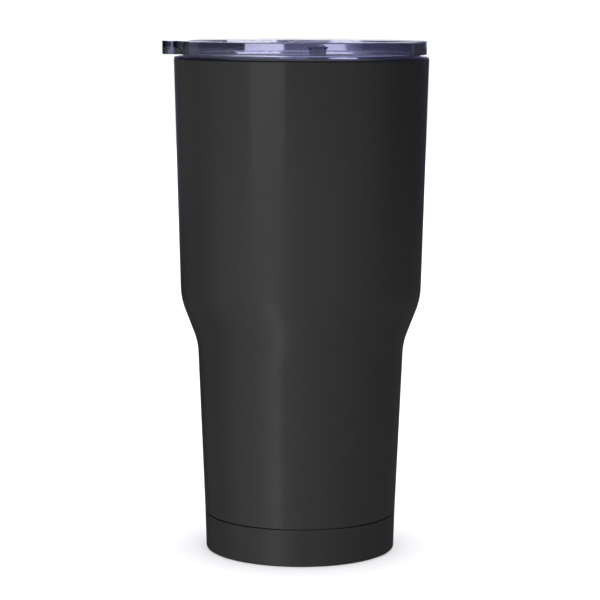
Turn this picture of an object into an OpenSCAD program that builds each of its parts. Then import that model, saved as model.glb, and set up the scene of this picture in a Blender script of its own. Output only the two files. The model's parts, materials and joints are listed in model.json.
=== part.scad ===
// Insulated tumbler with a press-in lid and a sliding drink closure.
//
// The cup is two thin steel walls that meet in a rolled lip, with a vacuum between them. The lid is a
// clear moulding that seals in the mouth with a silicone ring, and its slider runs in a sunken deck.
// Units are millimetres. The cup's axis is Z, and its foot stands on z = 0. The drink opening is
// towards +X and the thumb tab towards -X.

/* [Cup] */
// Outside diameter just under the lip
lip_d = 101.6; // [98:0.1:104]
// Height of the lip above the foot
rim_z = 198.8; // [190:0.1:206]
// Taper of the upper wall from the vertical, in degrees
upper_taper = 1.5; // [0.5:0.1:2.5]
// Taper of the lower wall from the vertical, in degrees
lower_taper = 2.4; // [1.5:0.1:3]
// Outside radius of the rolled lip
lip_roll = 1.1; // [0.9:0.05:1.4]

/* [Shoulder] */
// Height at which the upper wall starts to turn in
shoulder_z = 106.7; // [100:0.1:115]
// Steepest slope of the shoulder from the vertical, in degrees
shoulder_angle = 21; // [16:0.5:26]
// Outside radius of both shoulder bends
bend_r = 27.6; // [20:0.2:34]
// Straight length between the two bends
shoulder_run = 9.6; // [6:0.2:12]

/* [Walls] */
// Thickness of the steel sheet
sheet = 0.5; // [0.4:0.05:0.8]
// Depth from the outside face to the face that touches the drink
wall_depth = 4.9; // [4:0.1:6]
// Thickness of the reflective foil
foil = 0.1; // [0.05:0.05:0.2]
// Height of the seam between the liner's tube and its bottom pan
liner_seam_z = 26; // [22:1:34]
// Corner radius inside the bottom of the cup
pan_corner = 9; // [5:0.5:12]

/* [Base] */
// Height of the seam between the outer shell and the base cap
seam_z = 15; // [12:0.5:18]
// Width of the groove at that seam
seam_gap = 0.4; // [0.2:0.1:0.8]
// Taper of the base cap from the vertical, in degrees
cap_taper = 1.7; // [1:0.1:2.4]
// Width of the flat foot ring
foot_w = 3.2; // [2.4:0.1:4]
// Height of the recess inside the foot ring
foot_recess = 1.6; // [1:0.1:2.2]
// Diameter of the evacuation port
port_d = 2.6; // [2:0.1:4]

/* [Lid] */
// Distance the lid's ring stands in from the lip's edge
ring_inset = 1; // [0.5:0.05:1.5]
// Width of the ring's top, from its edge to the dish
ring_w = 4.65; // [4.2:0.05:5]
// Height of the lid's ring
ring_h = 5.3; // [4.5:0.1:6]
// Gap that shows between the lip and the ring
ring_gap = 0.85; // [0.6:0.05:1.2]
// Depth of the deck below the top of the ring
deck_depth = 9.5; // [8:0.5:10]
// Thickness of the deck
deck_t = 2.2; // [1.8:0.1:2.6]
// Length of the thumb tab beyond the ring
tab_l = 5.25; // [4.2:0.05:8]
// Width of the thumb tab
tab_w = 22; // [16:1:30]

/* [Slider] */
// Travel of the slider from open to closed
slider_travel = 18; // [14:0.5:20]
// Distance from the axis to the middle of the drink opening
sip_x = 34; // [33:0.5:35]
// Length of the drink opening across the lid
sip_l = 19; // [14:1:20]
// Width of the drink opening
sip_w = 9; // [7:0.5:10]
// Height of the slider's plate
plate_h = 2.4; // [2:0.1:3]
// Height of the thumb ridge above the plate
ridge_h = 5.2; // [4.6:0.1:5.6]

/* [Hidden] */
$fn = 128;
ARC = 12;            // steps in each bend of a wall
SMALL_ARC = 5;       // steps in each small rounded edge
GAP = 0.05;          // gap between pieces that lie against each other
SLIP = 0.15;         // gap between pieces that move past each other

// Mouth of the cup, where the liner flares out to the lip
lip_r = lip_d / 2;
roll_c = [lip_r - lip_roll, rim_z - lip_roll];
flare_top = [roll_c[0] - lip_roll, rim_z - 1.8];
flare_z = rim_z - 8.8;

// Levels of the double bottom
plate_z = 9;                              // underside of the plate that closes the vacuum
port_z = plate_z - 1.2;                   // underside of the dished part of that plate
shell_end_z = 5.5;
pan_z = 12.6;                             // underside of the liner's bottom pan
joggle = sheet + 2 * GAP;                 // how far the shell steps in to enter the base cap
step_z = seam_z - seam_gap / 2 + GAP;     // lower end of that step

// Lid levels
ring_z = rim_z + ring_gap;
lid_top = ring_z + ring_h;
deck_z = lid_top - deck_depth;
deck_low = deck_z - deck_t;
skirt_z = rim_z - 14.4;                   // lower end of the plug's skirt
groove_z = skirt_z + 1.2;
groove_h = 4;

// Slider, drawn open: its front edge stops short of the drink opening
pad = [sip_w + 2.2, sip_l + 2];
pad_x = sip_x - slider_travel;
pad_t = 1.2;
front_x = pad_x + pad[0] / 2 + 1.4;
rear_x = -9;
plate_w = sip_l + 4;
plate_low = deck_z + SLIP;
ridge_x = [2, 10.6];
stem_l = 6;
stem_w = 3.9;
retainer_t = 1.5;

// ---------- outlines ----------

// Outward normal of a wall that leans in by angle a on its way down
function normal(a) = [cos(a), -sin(a)];
function down(a) = [-sin(a), -cos(a)];

// Points on an arc about c, from angle a0 to a1
function arc(c, r, a0, a1, n = SMALL_ARC) =
    [for (i = [0 : n]) c + r * [cos(a0 + (a1 - a0) * i / n), sin(a0 + (a1 - a0) * i / n)]];

function reverse(p) = [for (i = [len(p) - 1 : -1 : 0]) p[i]];

// The four corners of the outside wall: the bends start and end at these
bend_1 = [lip_r - (roll_c[1] - shoulder_z) * tan(upper_taper), shoulder_z];
centre_1 = bend_1 - bend_r * normal(upper_taper);
bend_2 = centre_1 + bend_r * normal(shoulder_angle);
bend_3 = bend_2 + shoulder_run * down(shoulder_angle);
centre_2 = bend_3 + bend_r * normal(shoulder_angle);
bend_4 = centre_2 - bend_r * normal(lower_taper);

// Radius of the wall at height z, at depth d behind the outside face, above and below the shoulder
function upper_r(z, d = 0) = lip_r - (roll_c[1] - z) * tan(upper_taper) - d / cos(upper_taper);
function lower_r(z, d = 0) = bend_4[0] - (bend_4[1] - z) * tan(lower_taper) - d / cos(lower_taper);
function cap_r(z, d = 0) = lower_r(seam_z) - (seam_z - z) * tan(cap_taper) - d / cos(cap_taper);

// Radius of the shell's foot, which stands inside the base cap
function foot_r(z, d = 0) = cap_r(z, joggle + d);

// The wall at depth d behind the outside face, from height top down to height bottom
function wall(d, top, bottom) = concat(
    [[upper_r(top, d), top]],
    [for (i = [0 : ARC]) centre_1
        + (bend_r - d) * normal(upper_taper + (shoulder_angle - upper_taper) * i / ARC)],
    [for (i = [0 : ARC]) centre_2
        - (bend_r + d) * normal(shoulder_angle + (lower_taper - shoulder_angle) * i / ARC)],
    [[lower_r(bottom, d), bottom]]
);

module slot(length, width) {
    square([width, length - width], center = true);
    for (side = [-1, 1]) translate([0, side * (length - width) / 2]) circle(d = width);
}

module rounded(x, y, r) {
    square([x - 2 * r, y], center = true);
    square([x, y - 2 * r], center = true);
    for (i = [-1, 1], j = [-1, 1]) translate([i * (x / 2 - r), j * (y / 2 - r)]) circle(r);
}

// ---------- cup ----------

// Outer wall: rolled in at the lip, and stepped in at the foot to enter the base cap
module outer_shell() {
    top = seam_z + seam_gap / 2;
    rise = 0.6 * sheet;                   // the step's inner face sits this much above its outer face
    color("#343434") rotate_extrude() polygon(concat(
        arc(roll_c, lip_roll, 90, 0),
        wall(0, roll_c[1] - 1, top),
        [[foot_r(step_z), step_z], [foot_r(shell_end_z), shell_end_z]],
        [[foot_r(shell_end_z, sheet), shell_end_z], [foot_r(step_z + rise, sheet), step_z + rise]],
        reverse(wall(sheet, roll_c[1] - 1, top + rise)),
        arc(roll_c, lip_roll - sheet, 0, 90)
    ));
}

// Cover pressed over the shell's foot, with the foot ring and a recessed floor
module base_cap() {
    corner = 0.7;
    bead = [19, 22];                      // stiffening ring pressed up in the floor
    bead_h = 0.5;
    lean = 0.2;                           // how much further in the upper face of each slope starts
    top = seam_z - seam_gap / 2;
    foot_out = cap_r(corner) - corner;
    foot_in = foot_out - foot_w;
    floor_out = foot_in - foot_recess;
    under = foot_recess;
    over = foot_recess + sheet;
    color("#343434") rotate_extrude() polygon(concat(
        [[cap_r(top), top]],
        arc([foot_out, corner], corner, 0, -90),
        [[foot_in, 0], [floor_out, under]],
        [[bead[1], under], [bead[1] - bead_h, under + bead_h]],
        [[bead[0] + bead_h, under + bead_h], [bead[0], under], [0, under]],
        [[0, over], [bead[0] - lean, over], [bead[0] + bead_h - lean, over + bead_h]],
        [[bead[1] - bead_h + lean, over + bead_h], [bead[1] + lean, over]],
        [[floor_out + lean, over], [foot_in + lean, sheet]],
        arc([foot_out, corner], corner - sheet, -90, 0),
        [[cap_r(top, sheet), top]]
    ));
}

// Tube that touches the drink: rolled out at the lip to meet the shell, then flared in
module inner_liner() {
    color("#c3c5c6") rotate_extrude() polygon(concat(
        arc(roll_c, lip_roll, 90, 180),
        [flare_top, [upper_r(flare_z, wall_depth), flare_z]],
        wall(wall_depth, flare_z - 1, liner_seam_z),
        reverse(wall(wall_depth - sheet, flare_z - 1, liner_seam_z)),
        [[upper_r(flare_z, wall_depth - sheet), flare_z + 0.1]],
        [flare_top + [sheet, 0.1]],
        arc(roll_c, lip_roll - sheet, 180, 90)
    ));
}

// Pan welded to the tube's lower end
module liner_bottom() {
    floor_z = pan_z + sheet;
    wall_r = lower_r(floor_z + pan_corner, wall_depth);
    c = [wall_r - pan_corner, floor_z + pan_corner];
    color("#c3c5c6") rotate_extrude() polygon(concat(
        [[lower_r(liner_seam_z, wall_depth), liner_seam_z]],
        arc(c, pan_corner, 0, -90, ARC),
        [[0, floor_z], [0, pan_z]],
        arc(c, pan_corner + sheet, -90, 0, ARC),
        [[lower_r(liner_seam_z, wall_depth - sheet), liner_seam_z]]
    ));
}

// Foil wrapped round the liner, inside the vacuum
module reflective_foil() {
    inside = wall_depth - sheet - GAP;
    top = flare_z - 4;
    bottom = liner_seam_z + 2;
    color("#d8dadc") rotate_extrude() polygon(concat(
        wall(inside - foil, top, bottom), reverse(wall(inside, top, bottom))
    ));
}

// Plate welded into the shell's foot to close the vacuum, dished down round the port
module vacuum_plate() {
    dish = [8, 5];
    top = plate_z + sheet;
    color("#a9abac") rotate_extrude() polygon([
        [port_d / 2, port_z], [dish[1], port_z], [dish[0], plate_z],
        [foot_r(plate_z, 2 * sheet), plate_z], [foot_r(shell_end_z, 2 * sheet), shell_end_z],
        [foot_r(shell_end_z, sheet), shell_end_z], [foot_r(top, sheet), top],
        [dish[0] - 0.2, top], [dish[1] - 0.2, port_z + sheet], [port_d / 2, port_z + sheet]
    ]);
}

// Glass bead melted into the port, in the dished part of the plate
module port_seal() {
    bead_r = port_d / 2 + 1.1;
    stem_r = port_d / 2 - GAP;
    color("#5c4a2a") rotate_extrude() polygon([
        [0, port_z - 0.9], [bead_r - 0.8, port_z - 0.8], [bead_r - 0.1, port_z - 0.3],
        [bead_r, port_z - GAP], [stem_r, port_z - GAP], [stem_r, port_z + sheet], [0, port_z + sheet]
    ]);
}

// Cup spot-welded to the plate, on the vacuum side, to hold the getter
getter_at = [18, 0, plate_z + sheet];
module getter_cup() {
    color("#8f9192") translate(getter_at) difference() {
        cylinder(d = 9, h = 1.9);
        translate([0, 0, 0.3]) cylinder(d = 8.4, h = 2);
    }
}

module getter_pellet() {
    color("#55524e") translate(getter_at + [0, 0, 0.3]) cylinder(d = 8.3, h = 1.4);
}

// ---------- lid ----------

// The plug stands just inside the liner: its seat cone runs parallel to the liner's flare
mouth_r = upper_r(flare_z, wall_depth);
seat_r = mouth_r - SLIP;
neck_r = flare_top[0] - 1.4;
neck_z = flare_z + (neck_r - seat_r) * (flare_top[1] - flare_z) / (flare_top[0] - mouth_r);
flange_r = upper_r(skirt_z, wall_depth) - 3 * SLIP;
groove_r = seat_r - 1.65;
skirt_in = groove_r - 1.6;
ring_r = lip_r - ring_inset;
dish_r = ring_r - ring_w;

// Section of the lid about its axis: dish, ring, neck, seat cone, and skirt with the seal's groove
module lid_section() {
    fillet = 1.6;
    edge_in = 0.4;
    edge_out = 0.45;
    polygon(concat(
        [[0, deck_low], [0, deck_z]],
        arc([dish_r - fillet, deck_z + fillet], fillet, -90, 0),
        arc([dish_r + edge_in, lid_top - edge_in], edge_in, 180, 90),
        arc([ring_r - edge_out, lid_top - edge_out], edge_out, 90, 0),
        arc([ring_r - edge_out, ring_z + edge_out], edge_out, 0, -90),
        [[neck_r + 0.5, ring_z], [neck_r, ring_z - 0.5], [neck_r, neck_z], [seat_r, flare_z]],
        [[seat_r, groove_z + groove_h], [groove_r, groove_z + groove_h], [groove_r, groove_z]],
        [[flange_r, groove_z], [flange_r, skirt_z + 0.4], [flange_r - 0.4, skirt_z]],
        [[skirt_in, skirt_z], [skirt_in, deck_low]]
    ));
}

// Thumb tab in plan, blended into the ring with a fillet on each side
module tab_plan() {
    corner = 4;
    fillet = 3;
    inlay = 4;                            // how far the tab's outline starts inside the ring's edge
    half_w = tab_w / 2;
    blend = [-sqrt(pow(ring_r + fillet, 2) - pow(half_w + fillet, 2)), half_w + fillet];
    touch = blend * ring_r / (ring_r + fillet);
    difference() {
        union() {
            translate([-ring_r + (inlay - tab_l) / 2, 0]) rounded(tab_l + inlay, tab_w, corner);
            translate([-ring_r, -half_w]) square([inlay, tab_w]);
            for (side = [-1, 1]) polygon([
                [blend[0], side * (half_w - 1)], [blend[0], side * blend[1]],
                [touch[0], side * touch[1]], [-ring_r + inlay, side * (half_w - 1)]
            ]);
        }
        for (side = [-1, 1]) translate([blend[0], side * blend[1]]) circle(fillet);
    }
}

// Clear moulding: the ring with its tab, the deck with the slider's rails, and the plug
module lid_body() {
    rail_l = front_x + slider_travel - rear_x - 2;
    rail = [rail_l, 1.4, 1.8];
    sunk = 0.2;
    slot_x = [-stem_l / 2 - 0.3, stem_l / 2 + slider_travel + 0.3];
    color("#8f93b8", 0.55) difference() {
        union() {
            rotate_extrude() lid_section();
            translate([0, 0, ring_z]) linear_extrude(ring_h) tab_plan();
            for (y = [plate_w / 2 + SLIP, -plate_w / 2 - SLIP - rail[1]])
                translate([rear_x, y, deck_z - sunk]) cube(rail + [0, 0, sunk]);
        }
        translate([0, 0, deck_low - 1]) linear_extrude(deck_t + 2) {
            translate([sip_x, 0]) slot(sip_l, sip_w);
            translate([slot_x[0], -stem_w / 2 - SLIP]) square([slot_x[1] - slot_x[0], stem_w + 2 * SLIP]);
            translate([-sip_x, 0]) circle(d = 2.4);
        }
    }
}

// Silicone ring in the skirt's groove, with two fins that wipe the liner
module lid_gasket() {
    low = groove_z + 2 * GAP;
    high = groove_z + groove_h - 2 * GAP;
    back_r = groove_r + GAP;
    body_r = groove_r + 0.9;
    fin_r = upper_r(low, wall_depth) - SLIP;
    fins = [for (z = [low, low + 2])
        each [[body_r, z], [fin_r, z + 0.9], [fin_r, z + 1.2], [body_r, z + 1.5]]];
    color("#e4e6ea", 0.8) rotate_extrude()
        polygon(concat([[back_r, low]], fins, [[body_r, high], [back_r, high]]));
}

// ---------- slider ----------

// Plate with a waisted and ribbed thumb ridge, and two snap legs that pass down through the slot
module slider() {
    plate_top = plate_low + plate_h;
    rib_r = 0.6;
    rib_step = 2.3;
    ridge_wall = ridge_h - rib_r;         // height of the ridge without its ribs
    ridge_l = ridge_x[1] - ridge_x[0];
    ridge_mid = (ridge_x[0] + ridge_x[1]) / 2;
    color("#8f93b8", 0.55) {
        difference() {
            union() {
                translate([(front_x + rear_x) / 2, 0, plate_low])
                    linear_extrude(plate_h) rounded(front_x - rear_x, plate_w, 5);
                difference() {
                    translate([ridge_mid, 0, plate_top - 0.2])
                        linear_extrude(ridge_wall + 0.2) rounded(ridge_l, 15, 2.5);
                    for (x = ridge_x + [-1.5, 1.5])
                        translate([x, 0, plate_top + ridge_wall / 2])
                            rotate([90, 0, 0]) cylinder(r = 2.6, h = 16, center = true);
                }
                for (i = [-1 : 1])
                    translate([ridge_mid + i * rib_step, 0, plate_top + ridge_wall])
                        rotate([90, 0, 0]) cylinder(r = rib_r, h = 12, center = true);
            }
            translate([pad_x, 0, plate_low - 1]) linear_extrude(1 + pad_t - SLIP + GAP)
                rounded(pad[0] + 2 * GAP, pad[1] + 2 * GAP, 4 + GAP);
        }
        snap_leg();
        mirror([1, 0, 0]) snap_leg();
    }
}

// One leg of the slider, with the hook that holds the retainer
module snap_leg() {
    leg_l = 2.4;
    hook = 0.6;
    hook_h = 0.65;
    leg_low = deck_low - GAP - retainer_t - GAP - hook_h;
    translate([stem_l / 2 - leg_l, -stem_w / 2, leg_low]) {
        cube([leg_l, stem_w, plate_low - leg_low + 0.2]);
        cube([leg_l + hook, stem_w, hook_h]);
    }
}

// Silicone pad let into the plate, which covers the drink opening when the slider is closed
module slider_seal() {
    color("#e4e6ea", 0.8) translate([pad_x, 0, deck_z + GAP])
        linear_extrude(pad_t - GAP) rounded(pad[0], pad[1], 4);
}

// Keeper snapped on the legs under the deck
module slider_retainer() {
    color("#8f93b8", 0.55) translate([0, 0, deck_low - GAP - retainer_t]) linear_extrude(retainer_t)
        difference() {
            rounded(10, 9, 2);
            square([stem_l + 2 * GAP, stem_w + 2 * GAP], center = true);
        }
}

outer_shell();
base_cap();
inner_liner();
liner_bottom();
reflective_foil();
vacuum_plate();
port_seal();
getter_cup();
getter_pellet();
lid_body();
lid_gasket();
slider();
slider_seal();
slider_retainer();
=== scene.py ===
"""Insulated tumbler with a clear press-in lid: its finished surfaces, its finishes and its studio.

Every shape is worked out in millimetres, as a grid of points or as a profile carried round a path, and
goes into its mesh in metres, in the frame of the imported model.
"""

import json
import logging
import math
from dataclasses import dataclass, field
from enum import Enum

import bmesh
import bpy
import numpy as np
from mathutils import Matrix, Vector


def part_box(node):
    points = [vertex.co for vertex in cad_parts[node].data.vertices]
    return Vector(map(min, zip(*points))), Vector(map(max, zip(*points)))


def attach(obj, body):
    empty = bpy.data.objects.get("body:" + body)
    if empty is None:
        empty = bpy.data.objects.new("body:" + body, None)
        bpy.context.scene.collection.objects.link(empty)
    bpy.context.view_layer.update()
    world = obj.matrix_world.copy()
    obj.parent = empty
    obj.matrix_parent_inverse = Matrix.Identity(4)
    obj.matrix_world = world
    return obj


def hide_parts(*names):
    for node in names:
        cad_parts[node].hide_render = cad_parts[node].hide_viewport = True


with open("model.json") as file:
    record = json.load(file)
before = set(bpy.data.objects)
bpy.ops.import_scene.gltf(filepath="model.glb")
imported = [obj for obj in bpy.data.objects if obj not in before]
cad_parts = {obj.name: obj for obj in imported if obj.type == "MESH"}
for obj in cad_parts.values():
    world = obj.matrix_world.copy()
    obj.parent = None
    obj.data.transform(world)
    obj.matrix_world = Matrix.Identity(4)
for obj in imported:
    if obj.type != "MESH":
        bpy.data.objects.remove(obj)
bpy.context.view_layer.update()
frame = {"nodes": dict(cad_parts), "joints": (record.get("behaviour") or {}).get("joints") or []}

LOG = logging.getLogger("tumbler")
Piece = bpy.types.Object
Material = bpy.types.Material
Tree = bpy.types.NodeTree
Node = bpy.types.Node
Socket = bpy.types.NodeSocket
Colour = tuple[float, float, float, float]
MM = 0.001
ROUND = 256          # points in a full turn of a large revolved piece
BAR_ROUND = 48       # points in a full turn of a thin bar


# ---------- curves ----------


def arc(centre: tuple[float, float], radius: float, start: float, stop: float, steps: int = 8) -> np.ndarray:
    """Points on a circular arc: centre plus radius times (cos, sin) of evenly spaced angles.

    Args:
        centre: The arc's centre.
        radius: Its radius.
        start: First angle, in degrees.
        stop: Last angle, in degrees.
        steps: Number of equal steps between them.

    Returns:
        An array of steps + 1 points.
    """
    angle = np.radians(np.linspace(start, stop, steps + 1))
    return np.array(centre) + radius * np.column_stack([np.cos(angle), np.sin(angle)])


def soften(
    points: np.ndarray, radius: float | list[float], steps: int = 5, closed: bool = True
) -> np.ndarray:
    """Rounds the corners of a polyline with tangent arcs.

    At each corner the arc touches both sides at radius times the tangent of half the turn, or at 0.45 of
    the shorter side if that is less, and its points are a quadratic Bezier through the corner.

    Args:
        points: The corners, in order.
        radius: One radius, or one for each corner.
        steps: Steps in each rounded corner.
        closed: Whether the last corner joins the first.

    Returns:
        The rounded polyline's points.
    """
    count = len(points)
    radii = np.broadcast_to(np.asarray(radius, float), (count,))
    before = np.roll(points, 1, axis=0) - points
    after = np.roll(points, -1, axis=0) - points
    reach_before = np.linalg.norm(before, axis=1)
    reach_after = np.linalg.norm(after, axis=1)
    unit_before = before / reach_before[:, None]
    unit_after = after / reach_after[:, None]
    turn = math.pi - np.arccos(np.clip((unit_before * unit_after).sum(1), -1, 1))
    cut = np.minimum(radii * np.tan(turn / 2), 0.45 * np.minimum(reach_before, reach_after))
    if not closed:
        cut[[0, -1]] = 0
    share = np.linspace(0, 1, steps + 1)[None, :, None]
    first = (points + unit_before * cut[:, None])[:, None]
    last = (points + unit_after * cut[:, None])[:, None]
    bent = (1 - share) ** 2 * first + 2 * share * (1 - share) * points[:, None] + share**2 * last
    kept = [bent[i] if cut[i] > 1e-6 else points[i : i + 1] for i in range(count)]
    return np.concatenate(kept)


def rounded_rectangle(
    centre: tuple[float, float], size: tuple[float, float], corner: float, steps: int = 10
) -> np.ndarray:
    """Outline of a rectangle with quarter-circle corners, counter-clockwise.

    Args:
        centre: Middle of the rectangle.
        size: Its length along x and along y.
        corner: Radius of the corners.
        steps: Steps in each corner.

    Returns:
        The outline's points.
    """
    half = np.array(size) / 2 - corner
    signs = [(1, 1), (-1, 1), (-1, -1), (1, -1)]
    middle = np.array(centre)
    return np.concatenate(
        [arc(tuple(middle + half * sign), corner, 90 * i, 90 * i + 90, steps) for i, sign in enumerate(signs)]
    )


def outline_normals(outline: np.ndarray) -> np.ndarray:
    """Outward unit normals of a counter-clockwise outline: its central differences turned clockwise."""
    along = np.roll(outline, -1, axis=0) - np.roll(outline, 1, axis=0)
    outward = np.column_stack([along[:, 1], -along[:, 0]])
    return outward / np.linalg.norm(outward, axis=1)[:, None]


def tan(degrees: float) -> float:
    """Tangent of an angle in degrees."""
    return math.tan(math.radians(degrees))


def cosine(degrees: float) -> float:
    """Cosine of an angle in degrees."""
    return math.cos(math.radians(degrees))


def normal(lean: float) -> np.ndarray:
    """Outward normal of a wall that leans in by an angle on its way down."""
    return np.array([math.cos(math.radians(lean)), -math.sin(math.radians(lean))])


def downhill(lean: float) -> np.ndarray:
    """Direction down such a wall."""
    return np.array([-math.sin(math.radians(lean)), -math.cos(math.radians(lean))])


def height(section: np.ndarray, columns: int) -> np.ndarray:
    """The z of each section point, repeated for every column, as the last coordinate of a grid."""
    return np.broadcast_to(section[:, 1][:, None, None], (len(section), columns, 1))


# ---------- meshes ----------


def skin(grid: np.ndarray, cap_ends: bool) -> tuple[np.ndarray, list[list[int]]]:
    """Turns a grid of points into a closed surface.

    Rows run along the profile and columns round the piece. Columns always join up. Rows join up too, for
    a ring-shaped piece, unless cap_ends is set: then the first and last row are each closed by one face.

    Args:
        grid: Points of shape (rows, columns, 3).
        cap_ends: Whether the ends are capped instead of joined.

    Returns:
        The vertices and the faces.
    """
    rows, columns = grid.shape[:2]
    index = np.arange(rows * columns).reshape(rows, columns)
    lower = index[:-1] if cap_ends else index
    upper = index[1:] if cap_ends else np.roll(index, -1, axis=0)
    quads = np.stack([lower, np.roll(lower, -1, axis=1), np.roll(upper, -1, axis=1), upper], axis=-1)
    faces = quads.reshape(-1, 4).tolist()
    if cap_ends:
        faces += [index[0][::-1].tolist(), index[-1].tolist()]
    return grid.reshape(-1, 3), faces


def make_piece(name: str, vertices: np.ndarray, faces: list[list[int]], sharp: float = 32.0) -> Piece:
    """Makes a mesh object from points in millimetres, with its faces pointing outwards.

    Args:
        name: The piece's name.
        vertices: Points, in millimetres.
        faces: Lists of vertex numbers.
        sharp: Edges that turn by more than this many degrees stay crisp.

    Returns:
        The new object, at the origin.
    """
    mesh = bpy.data.meshes.new(name)
    mesh.from_pydata((vertices * MM).tolist(), [], faces)
    piece = bpy.data.objects.new(name, mesh)
    bpy.context.scene.collection.objects.link(piece)
    tidy_mesh(piece, sharp)
    return piece


def tidy_mesh(piece: Piece, sharp: float = 32.0) -> None:
    """Recalculates a closed mesh's normals, then smooths every edge that turns by less than sharp degrees."""
    work = bmesh.new()
    work.from_mesh(piece.data)
    bmesh.ops.remove_doubles(work, verts=work.verts, dist=1e-7)
    bmesh.ops.recalc_face_normals(work, faces=work.faces)
    work.to_mesh(piece.data)
    work.free()
    piece.data.polygons.foreach_set("use_smooth", np.ones(len(piece.data.polygons), bool))
    piece.data.set_sharp_from_angle(angle=math.radians(sharp))


def revolve(name: str, profile: np.ndarray, solid: bool = False, columns: int = ROUND) -> Piece:
    """Carries a profile round the Z axis: x = r cos a, y = r sin a, z = z.

    Args:
        name: The piece's name.
        profile: Points (r, z). It is closed, for a ring-shaped piece, or open from the lower cap to the
            upper cap, for a piece that is solid at the axis.
        solid: Whether the profile is open and its ends are capped.
        columns: Number of points in a full turn.

    Returns:
        The new object.
    """
    angle = np.linspace(0, 2 * math.pi, columns, endpoint=False)
    radius = profile[:, :1]
    level = np.broadcast_to(profile[:, 1:], (len(profile), columns))
    grid = np.stack([radius * np.cos(angle), radius * np.sin(angle), level], axis=-1)
    return make_piece(name, *skin(grid, cap_ends=solid))


def slab(name: str, outline: np.ndarray, side: np.ndarray) -> Piece:
    """Carries a side profile round a plan outline: outline point plus offset times normal, at height z.

    Args:
        name: The piece's name.
        outline: Plan outline, counter-clockwise.
        side: Points (offset, z) from the lower face to the upper face.

    Returns:
        The new object, capped below and above.
    """
    normals = outline_normals(outline)
    plan = outline[None] + side[:, None, :1] * normals[None]
    grid = np.concatenate([plan, height(side, len(outline))], axis=-1)
    return make_piece(name, *skin(grid, cap_ends=True))


def edge_side(low: float, high: float, round_low: float, round_high: float, steps: int = 4) -> np.ndarray:
    """Side profile of a slab with a quarter-circle at its lower and upper edge.

    Args:
        low: Height of the lower face.
        high: Height of the upper face.
        round_low: Radius of the lower edge.
        round_high: Radius of the upper edge.
        steps: Steps in each quarter-circle.

    Returns:
        Points (offset, z), with offset 0 on the upright face and negative inside it.
    """
    return np.concatenate(
        [
            arc((-round_low, low + round_low), round_low, -90, 0, steps),
            arc((-round_high, high - round_high), round_high, 0, 90, steps),
        ]
    )


def flared_side(low: float, high: float, flare: float, over: float = 0.6, steps: int = 4) -> np.ndarray:
    """Side profile of a cutter whose hole gets a rounded mouth below and above.

    The cutter is straight through the wall and widens by a quarter-circle of the given radius at each face.

    Args:
        low: Height of the wall's lower face.
        high: Height of its upper face.
        flare: Radius of the rounded mouth.
        over: How far the cutter runs past each face.
        steps: Steps in each quarter-circle.

    Returns:
        Points (offset, z) from the lower end to the upper end.
    """
    lower = arc((flare, low + flare), flare, 270, 180, steps)
    upper = arc((flare, high - flare), flare, 180, 90, steps)
    return np.concatenate([[[flare, low - over]], lower, upper, [[flare, high + over]]])


class Join(Enum):
    """How one solid is combined with another."""

    ADD = "UNION"
    CUT = "DIFFERENCE"


def combine(piece: Piece, other: Piece, how: Join) -> None:
    """Adds another solid to a piece, or cuts it away, and removes the other solid.

    Args:
        piece: The solid that is kept.
        other: The solid that is added or cut away.
        how: Which of the two.
    """
    modifier = piece.modifiers.new("join", "BOOLEAN")
    modifier.operation = how.value
    modifier.solver = "EXACT"
    modifier.object = other
    bpy.context.view_layer.update()
    made = bpy.data.meshes.new_from_object(piece.evaluated_get(bpy.context.evaluated_depsgraph_get()))
    piece.modifiers.clear()
    old, made.name = piece.data, piece.name
    piece.data = made
    bpy.data.meshes.remove(old)
    bpy.data.objects.remove(other)


# ---------- finishes ----------


def linear(code: str) -> Colour:
    """Turns an sRGB hex colour such as "#8090a0" into linear red, green, blue and an alpha of 1."""
    srgb = np.array([int(code[i : i + 2], 16) for i in (1, 3, 5)]) / 255
    value = np.where(srgb <= 0.04045, srgb / 12.92, ((srgb + 0.055) / 1.055) ** 2.4)
    return (*value.tolist(), 1.0)


def add_node(
    tree: Tree, kind: str, values: dict | None = None, links: dict | None = None, **settings: object
) -> Node:
    """Adds one shader node.

    Args:
        tree: The node tree.
        kind: The node's type, such as "TexNoise", without its ShaderNode prefix.
        values: Input values by name or number.
        links: Output sockets to join to inputs, by the inputs' name or number.
        **settings: The node's own properties.

    Returns:
        The new node.
    """
    made = tree.nodes.new("ShaderNode" + kind)
    for key, value in settings.items():
        setattr(made, key, value)
    for key, value in (values or {}).items():
        made.inputs[key].default_value = value
    feed(tree, made, links or {})
    return made


def feed(tree: Tree, node: Node, links: dict) -> None:
    """Joins output sockets to a node's inputs, by the inputs' name or number."""
    for key, socket in links.items():
        tree.links.new(socket, node.inputs[key])


@dataclass(frozen=True)
class Finish:
    """A material: what it is made of, and how its surface was made."""

    name: str
    colour: str
    roughness: float
    metallic: float = 0.0
    ior: float = 1.5

    def start(self) -> tuple[Material, Tree, Node]:
        """Makes the material with its main shader.

        Returns:
            The material, its node tree and its Principled shader.
        """
        material = bpy.data.materials.new(self.name)
        material.use_nodes = True
        tree = material.node_tree
        shader = tree.nodes["Principled BSDF"]
        shader.inputs["Base Color"].default_value = linear(self.colour)
        shader.inputs["Roughness"].default_value = self.roughness
        shader.inputs["Metallic"].default_value = self.metallic
        if not self.metallic:
            shader.inputs["IOR"].default_value = self.ior
        material.diffuse_color = linear(self.colour)
        return material, tree, shader

    def make(self) -> Material:
        """Makes the plain material."""
        return self.start()[0]


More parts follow.
